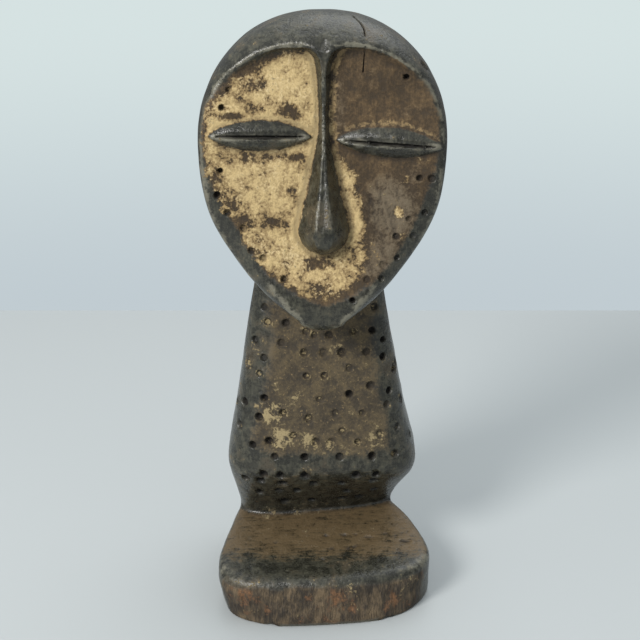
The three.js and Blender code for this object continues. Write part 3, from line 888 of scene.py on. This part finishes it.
class Shader:
    """The nodes of one material, made from their types, settings and inputs."""

    def __init__(self, material):
        material.use_nodes = True
        self.tree = material.node_tree
        self.tree.nodes.clear()

    def node(self, kind, settings=None, inputs=None):
        node = self.tree.nodes.new(kind)
        for name, value in (settings or {}).items():
            setattr(node, name, value)
        for key, value in (inputs or {}).items():
            socket = node.inputs[key] if isinstance(key, int) else self.named(node.inputs, key)
            if isinstance(value, Socket):
                self.tree.links.new(value.output, socket)
            else:
                socket.default_value = value
        return node

    def named(self, sockets, name):
        return next(s for s in sockets if s.enabled and s.name == name)

    def out(self, node, name):
        return Socket(self, self.named(node.outputs, name))

    def math(self, operation, first, second):
        node = self.node("ShaderNodeMath", {"operation": operation}, {0: first, 1: second})
        return self.out(node, "Value")

    def share(self, value, low, high):
        """0 below low, 1 above high, and a soft rise between."""
        node = self.node(
            "ShaderNodeMapRange",
            {"interpolation_type": "SMOOTHSTEP"},
            {"Value": value, "From Min": low, "From Max": high},
        )
        return self.out(node, "Result")

    def blend(self, share, first, second):
        """The first colour, giving way to the second by a share."""
        node = self.node(
            "ShaderNodeMix", {"data_type": "RGBA"}, {"Factor": share, "A": first, "B": second}
        )
        return self.out(node, "Result")

    def attribute(self, name):
        return self.out(self.node("ShaderNodeAttribute", {"attribute_name": name}), "Fac")

    def noise(self, size, detail=2, roughness=0.5, stretch=(1, 1, 1), turn=(0, 0, 0)):
        """Noise whose grains are about a size in millimetres, drawn out by a stretch."""
        place = self.out(self.node("ShaderNodeTexCoord"), "Object")
        scale = tuple(1 / (size * MM * s) for s in stretch)
        laid = self.node(
            "ShaderNodeMapping", {"vector_type": "POINT"},
            {"Vector": place, "Scale": scale, "Rotation": turn},
        )
        node = self.node(
            "ShaderNodeTexNoise",
            {"noise_dimensions": "3D"},
            {"Vector": self.out(laid, "Vector"), "Scale": 1, "Detail": detail, "Roughness": roughness},
        )
        return self.out(node, "Fac")


def opaque(colour):
    return (*colour, 1)


def carved_wood(finish):
    """Dark handled wood, with its stain, clay, crust and dust where the piece's shares say, and with painted
    highlights on its edges and painted shade in its hollows.
    """
    material = bpy.data.materials.new("carved_wood")
    s = Shader(material)
    broad = s.noise(12, 3, 0.55) - 0.5
    patch = s.noise(4.2, 4, 0.6) - 0.5
    grit = s.noise(1.1, 4, 0.68) - 0.5
    upright = s.noise(0.8, 4, 0.6, stretch=(1, 1, 7)) - 0.5
    level = s.noise(0.9, 4, 0.6, stretch=(8, 1, 1)) - 0.5
    broken = broad * 1.4 + patch * 2.2 + grit * 1.8

    colour = s.blend(s.share(broken + upright * 1.4, -0.45, 0.75), opaque(finish.wood), opaque(finish.bloom))
    glazed = s.share(broad * 3 + patch * 1.5, 0.05, 0.6)
    colour = s.blend(glazed * 0.5, colour, opaque(finish.glaze))
    # Pale edges: partly real wear, partly a painted highlight.
    worn = s.share(s.attribute("worn") + broken * 0.7, 0.3, 1.05)
    colour = s.blend(worn * 0.75, colour, opaque(finish.worn))

    stain_tone = s.blend(s.share(broken + upright, -0.5, 0.8), opaque(finish.stain), opaque(finish.pale_stain))
    weathered = s.share(s.attribute("weathered") + broken * 0.8, 0.3, 1.1)
    stain_tone = s.blend(weathered, stain_tone, opaque(finish.weathered))
    tan = s.share(s.attribute("tan") + broken * 0.8, 0.3, 0.9)
    stain_tone = s.blend(tan, stain_tone, opaque(finish.tan))
    colour = s.blend(s.share(s.attribute("stain") + broken * 0.5, 0.25, 0.75), colour, stain_tone)

    clay_value = s.attribute("clay") + broken * 0.85
    clay = s.share(clay_value, 0.4, 0.7)
    clay_tone = s.blend(s.share(clay_value, 0.55, 1.25), opaque(finish.aged_clay), opaque(finish.clay))
    clay_tone = s.blend(s.share(grit + broad * 0.5, 0.03, 0.25) * 0.5, clay_tone, opaque(finish.pale_clay))
    colour = s.blend(clay, colour, clay_tone)

    crust_tone = s.blend(s.share(broken, -0.5, 0.6), opaque(finish.crust), opaque(finish.pale_crust))
    colour = s.blend(s.share(s.attribute("crust") + broken * 0.5, 0.2, 0.85), colour, crust_tone)
    flecks = s.share(grit + s.attribute("crust") * 0.05, 0.17, 0.25)
    colour = s.blend(flecks * s.attribute("crust") * 0.7, colour, opaque(finish.tan))

    laid = s.share(s.attribute("slab_brown") + broken * 0.6 + level * 1.6, 0.3, 1.1)
    colour = s.blend(laid, colour, opaque(finish.slab_brown))
    scored = s.share(level + patch * 0.5, 0.04, 0.24)
    colour = s.blend(scored * s.attribute("undercut") * 0.6, colour, opaque(finish.slab_brown))

    clumps = s.noise(6.5, 3, 0.6, stretch=(1, 1, 1.6)) - 0.5
    bark = s.blend(s.share(clumps * 2.4 + upright * 1.3, -0.35, 0.7), opaque(finish.bark), opaque(finish.pale_bark))
    bark = s.blend(s.share(broad * 2 - clumps * 1.6 + grit, 0.1, 0.6), bark, opaque(finish.red_bark))
    colour = s.blend(s.attribute("fibre"), colour, bark)

    ochre = s.share(s.attribute("ochre") + broken * 1.1, 0.55, 0.9)
    colour = s.blend(ochre, colour, opaque(finish.ochre))
    # Painted shade, with some dirt, in the creases.
    crease_shade_and_dirt = s.attribute("crease_shade_and_dirt")
    colour = s.blend(crease_shade_and_dirt * 0.45, colour, opaque(finish.hollow))
    # Holes, slits and cracks darkened by their depth: painted shade with some dirt.
    hollow = s.attribute("hollow")
    colour = s.blend(hollow * 0.92 - ochre * hollow * 0.7, colour, opaque(finish.hollow))

    covered = clay + s.attribute("stain") + s.attribute("crust") + s.attribute("fibre") + hollow + ochre
    dull = s.share(covered + 0.4 * laid, 0.1, 1)
    roughness = finish.polish + (finish.dull - finish.polish) * dull + patch * 0.35 + grit * 0.2
    height = (
        patch * 0.45
        + upright * 0.12
        + grit * (0.14 + dull * 0.3)
        + clay * 0.16
        + ochre * 0.15
        + level * (s.attribute("undercut") + laid) * 0.2
        + upright * s.attribute("fibre") * 0.9
    )
    bump = s.node("ShaderNodeBump", None, {"Strength": 1.0, "Distance": MM, "Height": height})
    surface = s.node(
        "ShaderNodeBsdfPrincipled",
        None,
        {"Base Color": colour, "Roughness": roughness, "Normal": s.out(bump, "Normal")},
    )
    s.node("ShaderNodeOutputMaterial", None, {"Surface": s.out(surface, "BSDF")})
    return material


def matt(name, colour, roughness):
    material = bpy.data.materials.new(name)
    s = Shader(material)
    surface = s.node(
        "ShaderNodeBsdfPrincipled", None, {"Base Color": opaque(colour), "Roughness": roughness}
    )
    s.node("ShaderNodeOutputMaterial", None, {"Surface": s.out(surface, "BSDF")})
    return material


class FigureForm(bpy.types.PropertyGroup):
    """Sizes of the carving, in millimetres."""

    grain: FloatProperty(
        name="Mesh size", description="How far apart the points of the plain surfaces are, in mm", default=1.5, min=0.8
    )
    tool_marks: FloatProperty(
        name="Tool marks", description="How far the knife's soft facets swell, in mm", default=0.3, min=0
    )


def finish_colour(name, description, default):
    return FloatVectorProperty(name=name, description=description, subtype="COLOR", default=default)


class FigureFinish(bpy.types.PropertyGroup):
    """Colours and gloss of the wood and of what is rubbed into it."""

    wood: finish_colour("Wood", "The darkest of the handled wood", (0.016, 0.0155, 0.011))
    bloom: finish_colour("Bloom", "The greyer bloom of the handled wood", (0.074, 0.071, 0.05))
    glaze: finish_colour("Glaze", "Brown that shows through the bloom", (0.06, 0.042, 0.024))
    # The pale edge colour: partly real wear, partly a painted highlight.
    worn: finish_colour("Worn edges", "Wood that is rubbed pale at its edges", (0.19, 0.178, 0.135))
    stain: finish_colour("Stain", "The brown ground of the face", (0.04, 0.025, 0.011))
    pale_stain: finish_colour("Pale stain", "Paler places of the brown ground", (0.13, 0.082, 0.038))
    weathered: finish_colour("Weathered ground", "Where the brown ground is greyed", (0.145, 0.112, 0.072))
    tan: finish_colour("Tan", "Clay that is rubbed thin over brown", (0.36, 0.25, 0.12))
    clay: finish_colour("Clay", "The pale clay", (0.56, 0.415, 0.2))
    aged_clay: finish_colour("Aged clay", "The clay where it is worn thin", (0.24, 0.16, 0.07))
    pale_clay: finish_colour("Pale clay", "The clay's palest grains", (0.76, 0.61, 0.36))
    crust: finish_colour("Crust", "The crust on the trunk", (0.042, 0.032, 0.02))
    pale_crust: finish_colour("Pale crust", "Paler places of the crust", (0.115, 0.085, 0.045))
    ochre: finish_colour("Ochre", "Ochre dust in hollows", (0.34, 0.265, 0.14))
    slab_brown: finish_colour("Slab brown", "The brown of the slab's upper face", (0.12, 0.083, 0.042))
    bark: finish_colour("Rough wood", "The rough front of the slab", (0.03, 0.023, 0.016))
    pale_bark: finish_colour("Pale rough wood", "Paler fibres of that front", (0.17, 0.12, 0.068))
    red_bark: finish_colour("Red rough wood", "Reddish places of that front", (0.2, 0.1, 0.045))
    # Also used for painted shade in creases, holes, slits and cracks.
    hollow: finish_colour("Hollow", "The dark of holes and cracks", (0.008, 0.006, 0.005))
    polish: FloatProperty(
        name="Polish", description="Roughness of the handled wood", default=0.3, min=0, max=1
    )
    dull: FloatProperty(
        name="Dull", description="Roughness of clay, crust and holes", default=0.8, min=0, max=1
    )


class StudioSettings(bpy.types.PropertyGroup):
    """The camera and the light."""

    distance: FloatProperty(name="Camera distance", description="From the figure's middle", default=0.6, unit="LENGTH")
    elevation: FloatProperty(
        name="Elevation", description="How steeply the camera looks down", default=math.radians(22), unit="ROTATION"
    )
    field: FloatProperty(
        name="Field of view", description="Angle across the picture", default=math.radians(26), unit="ROTATION"
    )
    table_back: FloatProperty(
        name="Table's back edge", description="Where the table ends behind the figure", default=0.334, unit="LENGTH"
    )
    key: FloatProperty(name="Key light", description="Power of the main soft light, in watts", default=20, min=0)
    fill: FloatProperty(name="Top light", description="Power of the soft light overhead, in watts", default=6, min=0)


class FIGURE_OT_carve(bpy.types.Operator):
    """Carves the figure from its block and finishes it"""

    bl_idname = "figure.carve"
    bl_label = "Carve figure"

    def execute(self, context):
        bm, shares = carve(context.scene.figure_form)
        mesh = bpy.data.meshes.new("carved_figure")
        bm.to_mesh(mesh)
        bm.free()
        for name, share in shares.items():
            mesh.attributes.new(name, "FLOAT", "POINT").data.foreach_set("value", share.astype(np.float32))
        mesh.polygons.foreach_set("use_smooth", np.ones(len(mesh.polygons), bool))
        mesh.materials.append(carved_wood(context.scene.figure_finish))
        figure = bpy.data.objects.new("carved_figure", mesh)
        context.scene.collection.objects.link(figure)
        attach(figure, "root")
        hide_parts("figure")
        return {"FINISHED"}


def add_table(studio):
    bm = bmesh.new()
    bmesh.ops.create_grid(bm, x_segments=1, y_segments=1, size=1)
    width, front = 3, -2.5
    for vert in bm.verts:
        vert.co.x *= width
        vert.co.y = studio.table_back if vert.co.y > 0 else front
    mesh = bpy.data.meshes.new("table")
    bm.to_mesh(mesh)
    bm.free()
    mesh.materials.append(matt("white_table", (0.44, 0.465, 0.47), 0.5))
    table = bpy.data.objects.new("table", mesh)
    bpy.context.scene.collection.objects.link(table)


def add_world():
    """A pale backdrop, in a room that is brightest overhead."""
    world = bpy.data.worlds.new("pale_room")
    bpy.context.scene.world = world
    s = Shader(world)
    way = s.node("ShaderNodeTexCoord")
    parts = s.node("ShaderNodeSeparateXYZ", None, {"Vector": s.out(way, "Generated")})
    height = s.out(parts, "Z")
    backdrop = s.blend(s.share(height, -0.37, -0.16), opaque((0.53, 0.60, 0.64)), opaque((0.67, 0.76, 0.76)))
    room = s.blend(s.share(height, -0.3, 0.9), opaque((0.15, 0.155, 0.16)), opaque((0.7, 0.75, 0.77)))
    seen = s.out(s.node("ShaderNodeLightPath"), "Is Camera Ray")
    light = s.node("ShaderNodeBackground", None, {"Color": s.blend(seen, room, backdrop), "Strength": 1.0})
    s.node("ShaderNodeOutputWorld", None, {"Surface": s.out(light, "Background")})


def add_soft_light(name, place, target, size, power, colour):
    data = bpy.data.lights.new(name, "AREA")
    data.shape = "DISK"
    data.size = size
    data.energy = power
    data.color = colour
    light = bpy.data.objects.new(name, data)
    light.location = place
    light.rotation_euler = (Vector(target) - Vector(place)).to_track_quat("-Z", "Y").to_euler()
    bpy.context.scene.collection.objects.link(light)


def add_camera(studio):
    target = Vector((-1, -5.5, 130)) * MM
    back = Vector((0, -math.cos(studio.elevation), math.sin(studio.elevation)))
    data = bpy.data.cameras.new("camera")
    data.sensor_width = 36
    data.lens = data.sensor_width / 2 / math.tan(studio.field / 2)
    camera = bpy.data.objects.new("camera", data)
    camera.location = target + studio.distance * back
    camera.rotation_euler = (-back).to_track_quat("-Z", "Y").to_euler()
    bpy.context.scene.collection.objects.link(camera)
    bpy.context.scene.camera = camera


class FIGURE_OT_stage(bpy.types.Operator):
    """Sets the pale table, the soft light and the camera"""

    bl_idname = "figure.stage"
    bl_label = "Set the stage"

    def execute(self, context):
        studio = context.scene.figure_studio
        context.scene.view_settings.view_transform = "Standard"
        add_table(studio)
        add_world()
        middle = (0, 0, 0.13)
        add_soft_light("key", (-0.8, -0.95, 0.95), middle, 0.5, studio.key, (1, 0.98, 0.95))
        add_soft_light("top", (0.25, 0.45, 1.2), middle, 1.1, studio.fill, (0.95, 0.98, 1))
        add_camera(studio)
        return {"FINISHED"}


class FIGURE_PT_panel(bpy.types.Panel):
    """Shows the figure's settings and the buttons that stage and carve it"""

    bl_label = "Carved figure"
    bl_space_type = "VIEW_3D"
    bl_region_type = "UI"
    bl_category = "Figure"

    def draw(self, context):
        for group in (context.scene.figure_form, context.scene.figure_finish, context.scene.figure_studio):
            box = self.layout.box()
            for name in group.__annotations__:
                box.prop(group, name)
        for operator in OPERATORS:
            self.layout.operator(operator.bl_idname)


OPERATORS = (FIGURE_OT_stage, FIGURE_OT_carve)
CLASSES = (FigureForm, FigureFinish, StudioSettings, *OPERATORS, FIGURE_PT_panel)


def register():
    for cls in CLASSES:
        bpy.utils.register_class(cls)
    bpy.types.Scene.figure_form = PointerProperty(type=FigureForm)
    bpy.types.Scene.figure_finish = PointerProperty(type=FigureFinish)
    bpy.types.Scene.figure_studio = PointerProperty(type=StudioSettings)


def unregister():
    del bpy.types.Scene.figure_studio
    del bpy.types.Scene.figure_finish
    del bpy.types.Scene.figure_form
    for cls in reversed(CLASSES):
        bpy.utils.unregister_class(cls)


def main():
    register()
    bpy.ops.figure.stage()
    bpy.ops.figure.carve()


if __name__ == "__main__":
    main()
